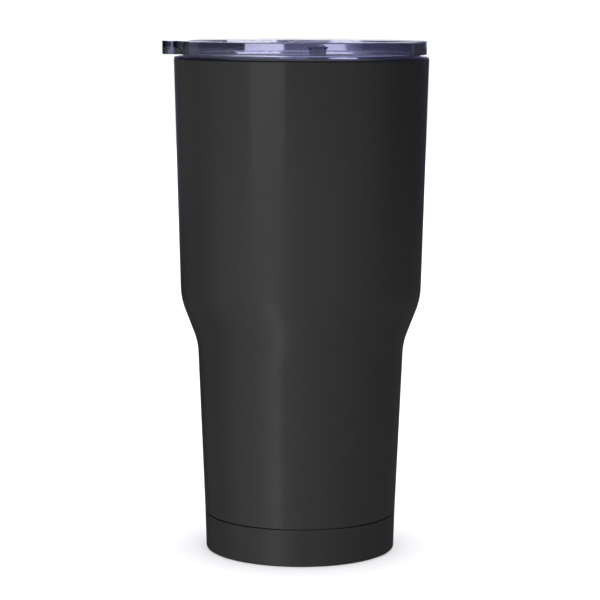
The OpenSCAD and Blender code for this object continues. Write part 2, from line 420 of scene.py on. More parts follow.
def place_mm(tree: Tree, stretch: tuple[float, float, float] = (1, 1, 1)) -> Socket:
    """Object coordinates in millimetres, stretched along each axis.

    Args:
        tree: The material's node tree.
        stretch: Factor on each axis; above 1 packs the pattern tighter.

    Returns:
        The socket that gives the point.
    """
    coordinate = add_node(tree, "TexCoord")
    scale = tuple(s / MM for s in stretch)
    placed = add_node(tree, "Mapping", {"Scale": scale}, {"Vector": coordinate.outputs["Object"]})
    return placed.outputs["Vector"]


def vary(tree: Tree, factor: Socket, low: float, high: float) -> Socket:
    """Turns a 0 to 1 pattern into a value between low and high.

    Args:
        tree: The material's node tree.
        factor: The pattern.
        low: Value at 0.
        high: Value at 1.

    Returns:
        The socket that gives the value.
    """
    return add_node(tree, "MapRange", {"To Min": low, "To Max": high}, {"Value": factor}).outputs["Result"]


def shade_between(tree: Tree, factor: Socket, dark: str, light: str) -> Socket:
    """Turns a 0 to 1 pattern into a colour between two sRGB hex colours.

    Args:
        tree: The material's node tree.
        factor: The pattern.
        dark: Colour at 0.
        light: Colour at 1.

    Returns:
        The socket that gives the colour.
    """
    mix = add_node(tree, "Mix", {6: linear(dark), 7: linear(light)}, {0: factor}, data_type="RGBA")
    return mix.outputs[2]


def noise(tree: Tree, point: Socket, spacing: float, detail: float, **inputs: float) -> Socket:
    """A 0 to 1 noise pattern.

    Args:
        tree: The material's node tree.
        point: The point, in millimetres.
        spacing: Size of the pattern, in millimetres.
        detail: Number of finer layers.
        **inputs: Further inputs of the noise, by name.

    Returns:
        The socket that gives the pattern.
    """
    values = {"Scale": 1 / spacing, "Detail": detail, **inputs}
    return add_node(tree, "TexNoise", values, {"Vector": point}).outputs["Fac"]


def ripple(tree: Tree, pattern: Socket, depth: float, under: Socket | None = None) -> Socket:
    """Turns a 0 to 1 pattern into a surface normal.

    Args:
        tree: The material's node tree.
        pattern: The height pattern.
        depth: Height at 1, in millimetres.
        under: Normal of a coarser ripple, which this one lies on.

    Returns:
        The socket that gives the normal.
    """
    links = {"Height": pattern} if under is None else {"Height": pattern, "Normal": under}
    return add_node(tree, "Bump", {"Distance": depth * MM}, links).outputs["Normal"]


@dataclass(frozen=True)
class PowderCoat(Finish):
    """Charcoal polyester powder coat, baked: a dark satin skin with a faint orange peel."""

    light: str = "#161617"
    mottle_mm: float = 9.0        # size of the faint blotches in the colour
    peel_mm: float = 1.3          # spacing of the orange peel
    peel_depth_mm: float = 0.003  # height of the orange peel
    grain_mm: float = 0.35        # fine grain of the powder, drawn coarser than real so that it shows

    def make(self) -> Material:
        """Makes the coat: mottled colour, slightly uneven gloss, and two sizes of ripple."""
        material, tree, shader = self.start()
        point = place_mm(tree)
        mottle = noise(tree, point, self.mottle_mm, 3.0)
        peel = noise(tree, point, self.peel_mm, 1.0)
        grain = noise(tree, point, self.grain_mm, 2.0)
        coarse = ripple(tree, peel, self.peel_depth_mm)
        links = {
            "Base Color": shade_between(tree, mottle, self.colour, self.light),
            "Roughness": vary(tree, grain, self.roughness - 0.03, self.roughness + 0.03),
            "Normal": ripple(tree, grain, 0.3 * self.peel_depth_mm, coarse),
        }
        feed(tree, shader, links)
        return material


@dataclass(frozen=True)
class TurnedSteel(Finish):
    """Stainless sheet brushed while it turns: fine rings round the axis, in tone, gloss and height."""

    light: str = "#d3d4d4"
    ring_mm: float = 0.5          # spacing of the brush rings, drawn coarser than real so that they show
    ring_depth_mm: float = 0.0012
    flat: bool = False            # whether the rings lie on a flat face, so run by radius and not by height

    def make(self) -> Material:
        """Makes the steel from a noise that changes fast across the rings and slowly along them."""
        material, tree, shader = self.start()
        point = place_mm(tree)
        split = add_node(tree, "SeparateXYZ", links={"Vector": point})
        across = split.outputs["Z"]
        if self.flat:
            level = add_node(tree, "VectorMath", {1: (1, 1, 0)}, {0: point}, operation="MULTIPLY")
            reach = add_node(tree, "VectorMath", links={0: level.outputs["Vector"]}, operation="LENGTH")
            across = reach.outputs["Value"]
        flat_way = {0: split.outputs["Y"], 1: split.outputs["X"]}
        turn = add_node(tree, "Math", links=flat_way, operation="ARCTAN2")
        # The angle's jump at the back is hidden by reading its sine, which joins up
        along = add_node(tree, "Math", links={0: turn.outputs[0]}, operation="SINE")
        rings_at = add_node(tree, "CombineXYZ", links={"X": across, "Y": along.outputs[0]}).outputs["Vector"]
        rings = noise(tree, rings_at, self.ring_mm, 4.0, Roughness=0.65)
        links = {
            "Base Color": shade_between(tree, rings, self.colour, self.light),
            "Roughness": vary(tree, rings, self.roughness - 0.06, self.roughness + 0.08),
            "Normal": ripple(tree, rings, self.ring_depth_mm),
        }
        feed(tree, shader, links)
        return material


@dataclass(frozen=True)
class ClearMoulding(Finish):
    """Clear copolyester, moulded in a polished tool, with a blue-violet cast in thick parts."""

    flow_mm: float = 2.4          # spacing of the faint flow lines left by moulding
    flow_depth_mm: float = 0.0025
    tint_per_m: float = 120.0     # how fast the body of the plastic takes up light
    tint: str = "#a8abbb"

    def make(self) -> Material:
        """Makes the plastic: full transmission, a tinted inside and faint waves on the surface."""
        material, tree, shader = self.start()
        shader.inputs["Transmission Weight"].default_value = 1.0
        flow = noise(tree, place_mm(tree, (1, 1, 2.5)), self.flow_mm, 2.0)
        feed(tree, shader, {"Normal": ripple(tree, flow, self.flow_depth_mm)})
        absorb = add_node(tree, "VolumeAbsorption", {"Color": linear(self.tint), "Density": self.tint_per_m})
        tree.links.new(absorb.outputs["Volume"], tree.nodes["Material Output"].inputs["Volume"])
        return material


@dataclass(frozen=True)
class Silicone(Finish):
    """Translucent food-grade silicone, compression moulded: milky, soft in its gloss."""

    pass_through: float = 0.35    # share of the light that passes straight through
    scatter: float = 0.4          # share of the rest that scatters inside
    scatter_mm: float = 2.0
    dust_mm: float = 0.6          # grain of the faint dusting

    def make(self) -> Material:
        """Makes the silicone: part transmission under a matt skin with a faint dusting."""
        material, tree, shader = self.start()
        shader.inputs["Transmission Weight"].default_value = self.pass_through
        shader.inputs["Subsurface Weight"].default_value = self.scatter
        shader.inputs["Subsurface Radius"].default_value = (self.scatter_mm * MM,) * 3
        dust = noise(tree, place_mm(tree), self.dust_mm, 3.0)
        uneven = vary(tree, dust, self.roughness - 0.06, self.roughness + 0.06)
        feed(tree, shader, {"Roughness": uneven})
        return material


@dataclass(frozen=True)
class Speckled(Finish):
    """A plain finish with a fine grain in tone and height, such as foil, pressed sheet or sintered metal."""

    light: str = "#ffffff"
    grain_mm: float = 0.4
    depth_mm: float = 0.01

    def make(self) -> Material:
        """Makes the finish from one noise, in colour and in height."""
        material, tree, shader = self.start()
        grain = noise(tree, place_mm(tree), self.grain_mm, 3.0)
        links = {
            "Base Color": shade_between(tree, grain, self.colour, self.light),
            "Normal": ripple(tree, grain, self.depth_mm),
        }
        feed(tree, shader, links)
        return material


def made_once(finish: Finish) -> Material:
    """A dataclass field whose value is the finish's material."""
    return field(default_factory=finish.make)


@dataclass
class Finishes:
    """Every finish on the tumbler, made once."""

    coat: Material = made_once(PowderCoat("charcoal powder coat", "#121212", 0.13))
    foot_coat: Material = made_once(PowderCoat("charcoal powder coat, foot cap", "#121212", 0.26))
    liner: Material = made_once(TurnedSteel("brushed stainless, wall", "#a9abac", 0.26, 1.0))
    liner_flat: Material = made_once(
        TurnedSteel("brushed stainless, floor", "#a9abac", 0.26, 1.0, flat=True)
    )
    sheet: Material = made_once(
        Speckled("pressed stainless sheet", "#8e9091", 0.38, 1.0, light="#a6a8a9")
    )
    foil: Material = made_once(
        Speckled("bright aluminium foil", "#c9cbcd", 0.12, 1.0, light="#e6e7e8", grain_mm=3.0, depth_mm=0.08)
    )
    solder: Material = made_once(
        Speckled("fused solder glass", "#3b2a12", 0.12, ior=1.7, light="#5a4220")
    )
    getter: Material = made_once(
        Speckled("sintered getter metal", "#4b4844", 0.6, 1.0, light="#6a665f", grain_mm=0.15, depth_mm=0.04)
    )
    clear: Material = made_once(ClearMoulding("clear copolyester", "#f0f0ff", 0.02, ior=1.54))
    silicone: Material = made_once(Silicone("translucent silicone", "#dfe2e8", 0.42, ior=1.41))


def dress(piece: Piece, body: str, slot: str, nodes: list[str], *materials: Material) -> None:
    """Gives a new piece its materials and its body, and hides the CAD nodes it stands for.

    Args:
        piece: The piece.
        body: The CAD body it rides on.
        slot: The record's material slot; not used.
        nodes: The CAD nodes it replaces.
        *materials: Its materials, in slot order.
    """
    piece.data.materials.clear()
    for material in materials:
        piece.data.materials.append(material)
    # Small edge roundings must not bend the light on the wide faces beside them
    weights = piece.modifiers.new("weighted normals", "WEIGHTED_NORMAL")
    weights.weight = 100
    weights.keep_sharp = True
    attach(piece, body)
    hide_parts(*nodes)
    LOG.info("%s: %d faces, on %s", piece.name, len(piece.data.polygons), body)


def dress_node(name: str, material: Material) -> None:
    """Gives a CAD node that is shown as it is a better material.

    Args:
        name: The node's name.
        material: The material.
    """
    node = frame["nodes"][name]
    node.data.materials.clear()
    node.data.materials.append(material)
    LOG.info("%s: kept from the frame", name)


def box_mm(node: str) -> tuple[np.ndarray, np.ndarray]:
    """Lowest and highest corner of a CAD node, in millimetres."""
    low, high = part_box(node)
    return np.array(low) / MM, np.array(high) / MM


def plan_of(low: np.ndarray, high: np.ndarray) -> tuple[tuple[float, float], tuple[float, float]]:
    """Middle and size, seen from above, of a box that lies across the x axis."""
    return (float(low[0] + high[0]) / 2, 0.0), (float(high[0] - low[0]), float(high[1] - low[1]))


def face_values(piece: Piece, name: str) -> np.ndarray:
    """One vector for each face: its center, in metres, or its normal."""
    values = np.zeros(len(piece.data.polygons) * 3)
    piece.data.polygons.foreach_get(name, values)
    return values.reshape(-1, 3)


def use_second(piece: Piece, chosen: np.ndarray) -> None:
    """Gives the chosen faces the piece's second material."""
    piece.data.polygons.foreach_set("material_index", chosen.astype(np.int32))


# ---------- cup ----------


@dataclass
class Cup:
    """The double-walled cup: two steel walls joined in a rolled lip, and a cap over the foot.

    The outside wall is a taper, a bend in, a short straight shoulder, a bend back and a second taper. Every
    other wall is that line moved inwards along its normal.
    """

    finishes: Finishes
    upper_taper: float = 1.5
    lower_taper: float = 2.4
    cap_taper: float = 1.7
    shoulder_z: float = 106.7
    shoulder_angle: float = 21.0
    shoulder_run: float = 9.6
    bend_r: float = 27.6
    sheet: float = 0.5
    wall_depth: float = 4.9
    roll: float = 1.1
    seam_gap: float = 0.4
    foot_w: float = 3.2
    pan_corner: float = 9.0
    flare_drop: tuple[float, float] = (1.8, 8.8)  # from the rim down to the flare's top and foot
    cap_slip: float = 0.1
    disc_r: tuple[float, float] = (9.0, 8.0)  # flat middle of the foot cap and of the pan

    def __post_init__(self) -> None:
        """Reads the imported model's boxes, and works out the levels, the lip's centre and the bends'."""
        low, high = box_mm("outer_shell")
        self.shell_low, self.lip_r, self.rim_z = float(low[2]), float(high[0]), float(high[2])
        self.cap_top = float(box_mm("base_cap")[1][2])
        self.liner_low = float(box_mm("inner_liner")[0][2])
        self.pan_low = float(box_mm("liner_bottom")[0][2])
        self.roll_c = (self.lip_r - self.roll, self.rim_z - self.roll)
        self.seam_z = self.cap_top + self.seam_gap / 2
        self.flare_top = (self.roll_c[0] - self.roll, self.rim_z - self.flare_drop[0])
        self.flare_z = self.rim_z - self.flare_drop[1]
        first = np.array([self.upper_r(self.shoulder_z), self.shoulder_z])
        self.centre_1 = first - self.bend_r * normal(self.upper_taper)
        last_1 = self.centre_1 + self.bend_r * normal(self.shoulder_angle)
        first_2 = last_1 + self.shoulder_run * downhill(self.shoulder_angle)
        self.centre_2 = first_2 + self.bend_r * normal(self.shoulder_angle)
        self.bend_4 = self.centre_2 - self.bend_r * normal(self.lower_taper)

    def upper_r(self, z: float, depth: float = 0.0) -> float:
        """Radius of the upper wall at height z, at a depth behind the outside face."""
        return self.lip_r - (self.roll_c[1] - z) * tan(self.upper_taper) - depth / cosine(self.upper_taper)

    def lower_r(self, z: float, depth: float = 0.0) -> float:
        """Radius of the lower wall at height z, at a depth behind the outside face."""
        drop = self.bend_4[1] - z
        return self.bend_4[0] - drop * tan(self.lower_taper) - depth / cosine(self.lower_taper)

    def cap_r(self, z: float, depth: float = 0.0) -> float:
        """Radius of the base cap at height z, at a depth behind its outside face."""
        drop = self.seam_z - z
        return self.lower_r(self.seam_z) - drop * tan(self.cap_taper) - depth / cosine(self.cap_taper)

    def foot_r(self, z: float, depth: float = 0.0) -> float:
        """Radius of the shell's foot, which stands inside the base cap."""
        return self.cap_r(z, self.sheet + self.cap_slip + depth)

    def wall(self, depth: float, top: float, bottom: float, steps: int = 24) -> np.ndarray:
        """The wall's line at a depth behind the outside face, from the top down.

        The upper and lower lines are split every few millimetres, so that the grid's faces stay square.

        Args:
            depth: Distance behind the outside face.
            top: First height.
            bottom: Last height.
            steps: Steps in each bend.

        Returns:
            Points (r, z).
        """
        lean = np.radians(np.linspace(self.upper_taper, self.shoulder_angle, steps + 1))
        bend_in = self.centre_1 + (self.bend_r - depth) * np.column_stack([np.cos(lean), -np.sin(lean)])
        back = np.radians(np.linspace(self.shoulder_angle, self.lower_taper, steps + 1))
        bend_back = self.centre_2 - (self.bend_r + depth) * np.column_stack([np.cos(back), -np.sin(back)])
        upper_rows, lower_rows = 20, 16
        upper_z = np.linspace(top, bend_in[0, 1], upper_rows)[:-1]
        lower_z = np.linspace(bend_back[-1, 1], bottom, lower_rows)[1:]
        upper = np.column_stack([[self.upper_r(z, depth) for z in upper_z], upper_z])
        lower = np.column_stack([[self.lower_r(z, depth) for z in lower_z], lower_z])
        return np.concatenate([upper, bend_in, bend_back, lower])

    def build_shell(self) -> None:
        """Outer wall, from the middle of the rolled lip down to the foot inside the base cap."""
        top = self.seam_z + self.seam_gap / 2
        step_z = self.seam_z - self.seam_gap / 2 + 0.05
        rise = 0.6 * self.sheet
        low = self.shell_low
        step_out = np.array(
            [[self.lower_r(top), top], [self.foot_r(step_z), step_z], [self.foot_r(low), low]]
        )
        step_in = np.array(
            [
                [self.foot_r(low, self.sheet), low],
                [self.foot_r(step_z + rise, self.sheet), step_z + rise],
                [self.lower_r(top + rise, self.sheet), top + rise],
            ]
        )
        outside = self.wall(0, self.roll_c[1] - 0.4, top + 0.8)
        inside = self.wall(self.sheet, self.roll_c[1] - 0.4, top + 1.6)[::-1]
        foot = soften(np.concatenate([outside[-1:], step_out, step_in, inside[:1]]), 0.18, closed=False)
        profile = np.concatenate(
            [
                arc(self.roll_c, self.roll, 90, 0, 12),
                outside[:-1],
                foot,
                inside[1:],
                arc(self.roll_c, self.roll - self.sheet, 0, 90, 8),
            ]
        )
        piece = revolve("outer_wall", profile[::-1])
        dress(piece, "cup", "body_coating", ["outer_shell"], self.finishes.coat)

    def build_cap(self) -> None:
        """Base cap: side wall, foot ring and recessed floor with one raised bead. Its floor is bare."""
        corner = 0.7
        foot_out = self.cap_r(corner) - corner
        foot_in = foot_out - self.foot_w
        recess = 1.6
        floor_out = foot_in - recess
        bead = (19.0, 22.0)
        bead_h = 0.5
        bead_line = [
            [foot_in, 0], [floor_out, recess], [bead[1], recess], [bead[1] - bead_h, recess + bead_h],
            [bead[0] + bead_h, recess + bead_h], [bead[0], recess],
        ]
        under = soften(np.array([[foot_out - 0.3, 0.0], *bead_line, [12.0, recess]]), 0.7, closed=False)
        over = under + np.array([0.1, self.sheet])
        profile = np.concatenate(
            [
                [[self.disc_r[0], recess]],
                under[::-1],
                arc((foot_out, corner), corner, -90, 0, 10),
                [[self.cap_r(z), z] for z in np.linspace(corner, self.cap_top - 0.12, 8)[1:]],
                [[self.cap_r(self.cap_top) - 0.1, self.cap_top]],
                [[self.cap_r(self.cap_top, self.sheet), self.cap_top]],
                arc((foot_out, corner), corner - self.sheet, 0, -90, 8),
                over,
                [[self.disc_r[0], recess + self.sheet]],
            ]
        )
        piece = revolve("foot_cap", profile, solid=True)
        centre = face_values(piece, "center") / MM
        inner = np.hypot(centre[:, 0], centre[:, 1]) < floor_out + 0.2
        bare = inner & (centre[:, 2] < recess + 2 * self.sheet)
        dress(piece, "cup", "body_coating", ["base_cap"], self.finishes.foot_coat, self.finishes.liner_flat)
        use_second(piece, bare)

    def build_liner(self) -> None:
        """The tube that touches the drink: rolled lip, flared seat for the lid, and the tapered wall."""
        z = self.flare_z
        turn_in = np.array([self.flare_top, [self.upper_r(z, self.wall_depth), z]])
        depth_out = self.wall_depth - self.sheet
        flare_r, flare_high = self.flare_top
        turn_out = np.array([[self.upper_r(z, depth_out), z], [flare_r + self.sheet, flare_high]])
        turn_out[:, 1] += 0.1
        inside = self.wall(self.wall_depth, z - 3, self.liner_low)
        outside = self.wall(depth_out, z - 3, self.liner_low)[::-1]
        roll_in = arc(self.roll_c, self.roll, 90, 180, 12)
        roll_out = arc(self.roll_c, self.roll - self.sheet, 180, 90, 8)
        line_in = np.concatenate([roll_in[-1:], turn_in, inside[:1]])
        line_out = np.concatenate([outside[-1:], turn_out, roll_out[:1]])
        flare_in = soften(line_in, [0, 3, 4, 0], 8, closed=False)
        flare_out = soften(line_out, [0, 4, 3, 0], 8, closed=False)
        profile = np.concatenate([roll_in[:-1], flare_in, inside[1:], outside[:-1], flare_out, roll_out[1:]])
        piece = revolve("liner_tube", profile)
        dress(piece, "cup", "liner_steel", ["inner_liner"], self.finishes.liner)

    def build_pan(self) -> None:
        """The pan that closes the liner: a flat floor, a rounded corner and a short wall up to the weld."""
        floor_z = self.pan_low + self.sheet
        corner_z = floor_z + self.pan_corner
        centre = (self.lower_r(corner_z, self.wall_depth) - self.pan_corner, corner_z)
        depth_out = self.wall_depth - self.sheet
        profile = np.concatenate(
            [
                [[self.disc_r[1], self.pan_low]],
                arc(centre, self.pan_corner + self.sheet, -90, 0, 20),
                [[self.lower_r(self.liner_low, depth_out), self.liner_low]],
                [[self.lower_r(self.liner_low, self.wall_depth), self.liner_low]],
                arc(centre, self.pan_corner, 0, -90, 20),
                [[self.disc_r[1], floor_z]],
            ]
        )
        piece = revolve("liner_pan", profile, solid=True)
        level = np.abs(face_values(piece, "normal")[:, 2]) > 0.8
        dress(piece, "cup", "liner_steel", ["liner_bottom"], self.finishes.liner, self.finishes.liner_flat)
        use_second(piece, level)

    def dress_inside(self) -> None:
        """Finishes for the pieces that are sealed in the vacuum, which keep their shapes."""
        dress_node("reflective_foil", self.finishes.foil)
        dress_node("vacuum_plate", self.finishes.sheet)
        dress_node("port_seal", self.finishes.solder)
        dress_node("getter_cup", self.finishes.sheet)
        dress_node("getter_pellet", self.finishes.getter)

    def build(self) -> None:
        """Builds and dresses the whole cup."""
        self.build_shell()
        self.build_cap()
        self.build_liner()
        self.build_pan()
        self.dress_inside()


# ---------- lid ----------


@dataclass
class Lid:
    """The clear lid: a ring with a thumb tab, a sunken deck, and a plug with a silicone ring round it."""

    cup: Cup
    finishes: Finishes
    ring_inset: float = 1.0
    ring_w: float = 4.65
    ring_h: float = 5.3
    deck_depth: float = 9.5
    deck_t: float = 2.2
    tab_w: float = 22.0
    tab_corner: float = 4.0
    tab_fillet: float = 3.0
    edge_in: float = 0.4
    edge_out: float = 0.45
    sip_size: tuple[float, float] = (9.0, 19.0)
    sip_x: float = 34.0
    vent_d: float = 2.4
    neck_play: float = 1.4
    groove_depth: float = 1.65
    groove_h: float = 4.0
    plug_wall: float = 1.6
    flange_h: float = 1.2
    rail_short: float = 2.0
    rail: tuple[float, float] = (1.4, 1.8)  # width, and height above the deck
    slot_w: float = 4.2
    slot_play: float = 0.6
    legs_l: float = 6.0  # over both of the slider's legs
    slip: float = 0.15

    def __post_init__(self) -> None:
        """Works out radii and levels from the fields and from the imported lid's box."""
        low, high = box_mm("lid_body")
        self.top = float(high[2])
        self.skirt_z = float(low[2])
        self.tab_reach = float(-low[0])
        self.ring_r = self.cup.lip_r - self.ring_inset
        self.ring_z = self.top - self.ring_h
        self.dish_r = self.ring_r - self.ring_w
        self.deck_z = self.top - self.deck_depth
        self.deck_low = self.deck_z - self.deck_t
        self.mouth_r = self.cup.upper_r(self.cup.flare_z, self.cup.wall_depth)
        self.seat_r = self.mouth_r - self.slip
        self.neck_r = self.cup.flare_top[0] - self.neck_play
        slope = (self.cup.flare_top[1] - self.cup.flare_z) / (self.cup.flare_top[0] - self.mouth_r)
        self.neck_z = self.cup.flare_z + (self.neck_r - self.seat_r) * slope
        self.groove_r = self.seat_r - self.groove_depth
        self.skirt_in = self.groove_r - self.plug_wall
        self.groove_z = self.skirt_z + self.flange_h

    def plan(self) -> tuple[np.ndarray, np.ndarray]:
        """Plan outline of the ring and its tab, counter-clockwise, with its outward normals.

        The ring is a circle. On each side a fillet that curves the other way leads into the tab's straight
        side, and a quarter-circle leads on to the tab's end. The lower half is the upper half's mirror image.

        Returns:
            Points and unit normals.
        """
        half = self.tab_w / 2
        fillet, corner = self.tab_fillet, self.tab_corner
        blend_y = half + fillet
        blend_x = -math.sqrt((self.ring_r + fillet) ** 2 - blend_y**2)
        touch = math.degrees(math.atan2(blend_y, blend_x))
        circle_points = 118
        round_part = np.radians(np.linspace(0, touch, circle_points))
        circle = np.column_stack([np.cos(round_part), np.sin(round_part)])
        in_arc = np.radians(np.linspace(touch - 180, -90, 10))[1:]
        in_part = np.column_stack([np.cos(in_arc), np.sin(in_arc)])
        out_arc = np.radians(np.linspace(90, 180, 12))
        out_part = np.column_stack([np.cos(out_arc), np.sin(out_arc)])
        end_y = np.linspace(half - corner, 0, 5)[1:]
        points = np.concatenate(
            [
                self.ring_r * circle,
                np.array([blend_x, blend_y]) + fillet * in_part,
                np.array([corner - self.tab_reach, half - corner]) + corner * out_part,
                np.column_stack([np.full(4, -self.tab_reach), end_y]),
            ]
        )
        outward = np.concatenate([circle, -in_part, out_part, np.tile([-1.0, 0.0], (4, 1))])
        flip = np.array([1.0, -1.0])
        return (
            np.concatenate([points, (points * flip)[-2:0:-1]]),
            np.concatenate([outward, (outward * flip)[-2:0:-1]]),
        )

    def build_body(self) -> Piece:
        """The clear moulding, as one grid of section points by plan points, with its openings cut through.

        A section point on the ring's outside is a plan point moved in along the plan's normal. Any other
        section point is at its own radius, in the direction of the plan point.

        Returns:
            The moulding.
        """
        points, outward = self.plan()
        direction = points / np.linalg.norm(points, axis=1)[:, None]
        outer = np.concatenate(
            [
                arc((-self.edge_out, self.top - self.edge_out), self.edge_out, 90, 0, 6),
                arc((-self.edge_out, self.ring_z + self.edge_out), self.edge_out, 0, -90, 6),
            ]
        )
        fillet = 1.6
        dish = np.concatenate(
            [
                arc((self.dish_r - fillet, self.deck_z + fillet), fillet, -90, 0, 8),
                arc((self.dish_r + self.edge_in, self.top - self.edge_in), self.edge_in, 180, 90, 5),
            ]
        )
        flange_r = self.cup.upper_r(self.skirt_z, self.cup.wall_depth) - 3 * self.slip
        groove_top = self.groove_z + self.groove_h
        plug = np.array(
            [
                [self.neck_r + 1.2, self.ring_z], [self.neck_r, self.ring_z], [self.neck_r, self.neck_z],
                [self.seat_r, self.cup.flare_z], [self.seat_r, groove_top], [self.groove_r, groove_top],
                [self.groove_r, self.groove_z], [flange_r, self.groove_z], [flange_r, self.skirt_z],
                [self.skirt_in, self.skirt_z], [self.skirt_in, self.deck_low],
                [self.skirt_in - 3, self.deck_low],
            ]
        )
        radii = [0, 0.1, 0.8, 0.15, 0.15, 0.2, 0.2, 0.15, 0.35, 0.35, 0.9, 0]
        inner = soften(plug, radii, 4, closed=False)
        rings = [
            np.concatenate([section[:, None, :1] * direction, height(section, len(points))], axis=-1)
            for section in (dish, inner)
        ]
        edge = np.concatenate([points + outer[:, None, :1] * outward, height(outer, len(points))], axis=-1)
        piece = make_piece("clear_lid", *skin(np.concatenate([rings[0], edge, rings[1]]), cap_ends=True))
        for rail in self.rails():
            combine(piece, rail, Join.ADD)
        for cutter in self.cutters():
            combine(piece, cutter, Join.CUT)
        tidy_mesh(piece)
        return piece

    def rails(self) -> list[Piece]:
        """The two rails that guide the slider, standing on the deck."""
        low, high = box_mm("slider")
        travel = frame_joint("slider_slide")["range_m"][1] / MM
        size = (float(high[0] - low[0]) + travel - self.rail_short, self.rail[0])
        middle_x = float(low[0]) + size[0] / 2
        offset = float(high[1]) + self.slip + size[1] / 2
        side = edge_side(self.deck_z - 0.3, self.deck_z + self.rail[1], 0.01, 0.35)
        return [
            slab(f"rail_{name}", rounded_rectangle((middle_x, y), size, 0.5, 5), side)
            for name, y in (("left", offset), ("right", -offset))
        ]

    def cutters(self) -> list[Piece]:
        """Cutters for the drink opening, the vent and the slider's slot, each with rounded mouths."""
        low, high = box_mm("slider_retainer")
        travel = frame_joint("slider_slide")["range_m"][1] / MM
        slot = (self.legs_l + travel + self.slot_play, self.slot_w)
        slot_x = float(low[0] + high[0]) / 2 + travel / 2
        side = flared_side(self.deck_low, self.deck_z, 0.5)
        small = flared_side(self.deck_low, self.deck_z, 0.2)
        sip = rounded_rectangle((self.sip_x, 0), self.sip_size, self.sip_size[0] / 2 - 0.01, 16)
        vent = rounded_rectangle((-self.sip_x, 0), (self.vent_d, self.vent_d), self.vent_d / 2 - 0.01, 8)
        return [
            slab("sip_cutter", sip, side),
            slab("vent_cutter", vent, small),
            slab("slot_cutter", rounded_rectangle((slot_x, 0), slot, 0.4, 5), small),
        ]

    def build_gasket(self) -> Piece:
        """Silicone ring with two soft fins: a rounded section carried round the axis."""
        low, high = self.groove_z + 0.1, self.groove_z + self.groove_h - 0.1
        back_r, body_r = self.groove_r + 0.05, self.groove_r + 0.9
        fin_r = self.cup.upper_r(low, self.cup.wall_depth) - self.slip
        tip_low, tip_high, root = 0.9, 1.2, 1.5
        step = 2
        fins = [
            [[body_r, z], [fin_r, z + tip_low], [fin_r, z + tip_high], [body_r, z + root]]
            for z in (low, low + step)
        ]
        section = np.array([[back_r, low], *fins[0], *fins[1], [body_r, high], [back_r, high]])
        return revolve("gasket_ring", soften(section, 0.14, 4))

    def build(self) -> None:
        """Builds and dresses the lid and its silicone ring."""
        dress(self.build_body(), "lid", "lid_plastic", ["lid_body"], self.finishes.clear)
        dress(self.build_gasket(), "seal", "silicone", ["lid_gasket"], self.finishes.silicone)


def frame_joint(name: str) -> dict:
    """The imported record's entry for a joint."""
    return next(joint for joint in frame["joints"] if joint["name"] == name)


# ---------- slider ----------


